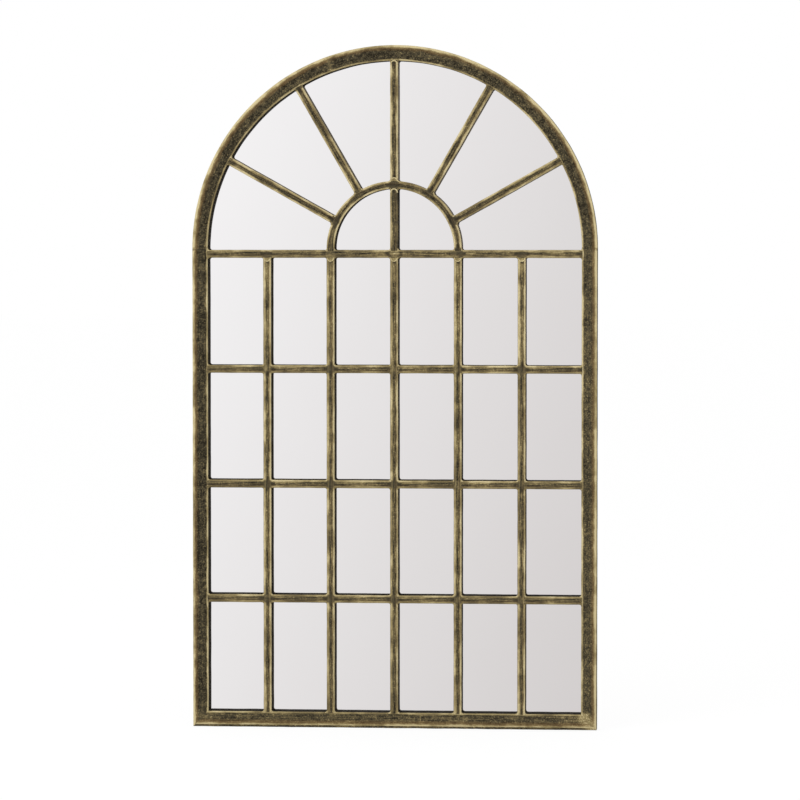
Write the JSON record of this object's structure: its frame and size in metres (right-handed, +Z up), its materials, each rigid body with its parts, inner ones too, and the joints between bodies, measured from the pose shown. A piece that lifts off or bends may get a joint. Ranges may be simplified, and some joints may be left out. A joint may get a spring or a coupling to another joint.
{
  "type": "arched window-pane mirror",
  "caption": "Arched wall mirror with a welded tube frame: glazing bars and a fan light laid over one silvered sheet, held in from behind by a board and turn buttons.",
  "frame": {"origin": "middle of the underside of the bottom rail, halfway through the tube's depth", "axes": "+Z up, +X to the viewer's right, +Y away from the viewer towards the wall"},
  "size_m": [0.65, 0.0326, 1.094],
  "materials": {
    "rubbed_paint": "black paint with antique gold rubbed over the edges and welds",
    "silvered_glass": "polished, silvered on the back",
    "board": "raw brown fibreboard",
    "zinc_steel": "zinc plated",
    "pad_rubber": "matt"
  },
  "bodies": {
    "mirror": {"bottom_rail": "rubbed_paint", "left_stile": "rubbed_paint", "right_stile": "rubbed_paint", "arch_left": "rubbed_paint", "arch_right": "rubbed_paint", "transom": "rubbed_paint", "mullion_1": "rubbed_paint", "mullion_2": "rubbed_paint", "mullion_3": "rubbed_paint", "mullion_4": "rubbed_paint", "mullion_5": "rubbed_paint", "upper_cross_bar_1": "rubbed_paint", "upper_cross_bar_2": "rubbed_paint", "upper_cross_bar_3": "rubbed_paint", "upper_cross_bar_4": "rubbed_paint", "upper_cross_bar_5": "rubbed_paint", "upper_cross_bar_6": "rubbed_paint", "middle_cross_bar_1": "rubbed_paint", "middle_cross_bar_2": "rubbed_paint", "middle_cross_bar_3": "rubbed_paint", "middle_cross_bar_4": "rubbed_paint", "middle_cross_bar_5": "rubbed_paint", "middle_cross_bar_6": "rubbed_paint", "lower_cross_bar_1": "rubbed_paint", "lower_cross_bar_2": "rubbed_paint", "lower_cross_bar_3": "rubbed_paint", "lower_cross_bar_4": "rubbed_paint", "lower_cross_bar_5": "rubbed_paint", "lower_cross_bar_6": "rubbed_paint", "fan_ring": "rubbed_paint", "fan_spoke_1": "rubbed_paint", "fan_spoke_2": "rubbed_paint", "fan_spoke_3": "rubbed_paint", "fan_spoke_4": "rubbed_paint", "fan_spoke_5": "rubbed_paint", "fan_stub": "rubbed_paint", "frame_welds": "rubbed_paint", "mullion_welds": "rubbed_paint", "cross_bar_welds": "rubbed_paint", "fan_welds": "rubbed_paint", "mirror_glass": "silvered_glass", "backing_board": "board", "left_hanger_strap": "zinc_steel", "right_hanger_strap": "zinc_steel", "hanger_screws": "zinc_steel", "turn_button_screws": "zinc_steel", "wall_pads": "pad_rubber"},
    "left_ring": {"left_hanging_ring": "zinc_steel"},
    "right_ring": {"right_hanging_ring": "zinc_steel"},
    "button_rail_left": {"turn_button_rail_left": "zinc_steel"},
    "button_rail_right": {"turn_button_rail_right": "zinc_steel"},
    "button_left_low": {"turn_button_left_low": "zinc_steel"},
    "button_left_high": {"turn_button_left_high": "zinc_steel"},
    "button_right_low": {"turn_button_right_low": "zinc_steel"},
    "button_right_high": {"turn_button_right_high": "zinc_steel"},
    "button_arch_left": {"turn_button_arch_left": "zinc_steel"},
    "button_arch_right": {"turn_button_arch_right": "zinc_steel"}
  },
  "joints": [
    {"name": "left_ring_swing", "type": "hinge", "parent": "mirror", "child": "left_ring", "pos_m": [-0.3125, 0.0156, 0.705], "axis": [1, 0, 0], "range_deg": [0, 180]},
    {"name": "right_ring_swing", "type": "hinge", "parent": "mirror", "child": "right_ring", "pos_m": [0.3125, 0.0156, 0.705], "axis": [1, 0, 0], "range_deg": [0, 180]},
    {"name": "button_rail_left_turn", "type": "hinge", "parent": "mirror", "child": "button_rail_left", "pos_m": [-0.15, 0.0134, 0.0125], "axis": [0, 1, 0], "range_deg": [-90, 90]},
    {"name": "button_rail_right_turn", "type": "hinge", "parent": "mirror", "child": "button_rail_right", "pos_m": [0.15, 0.0134, 0.0125], "axis": [0, 1, 0], "range_deg": [-90, 90]},
    {"name": "button_left_low_turn", "type": "hinge", "parent": "mirror", "child": "button_left_low", "pos_m": [-0.3125, 0.0134, 0.2], "axis": [0, 1, 0], "range_deg": [-90, 90]},
    {"name": "button_left_high_turn", "type": "hinge", "parent": "mirror", "child": "button_left_high", "pos_m": [-0.3125, 0.0134, 0.52], "axis": [0, 1, 0], "range_deg": [-90, 90]},
    {"name": "button_right_low_turn", "type": "hinge", "parent": "mirror", "child": "button_right_low", "pos_m": [0.3125, 0.0134, 0.2], "axis": [0, 1, 0], "range_deg": [-90, 90]},
    {"name": "button_right_high_turn", "type": "hinge", "parent": "mirror", "child": "button_right_high", "pos_m": [0.3125, 0.0134, 0.52], "axis": [0, 1, 0], "range_deg": [-90, 90]},
    {"name": "button_arch_left_turn", "type": "hinge", "parent": "mirror", "child": "button_arch_left", "pos_m": [-0.20087, 0.0134, 1.00839], "axis": [0, 1, 0], "range_deg": [-90, 90]},
    {"name": "button_arch_right_turn", "type": "hinge", "parent": "mirror", "child": "button_arch_right", "pos_m": [0.20087, 0.0134, 1.00839], "axis": [0, 1, 0], "range_deg": [-90, 90]}
  ]
}
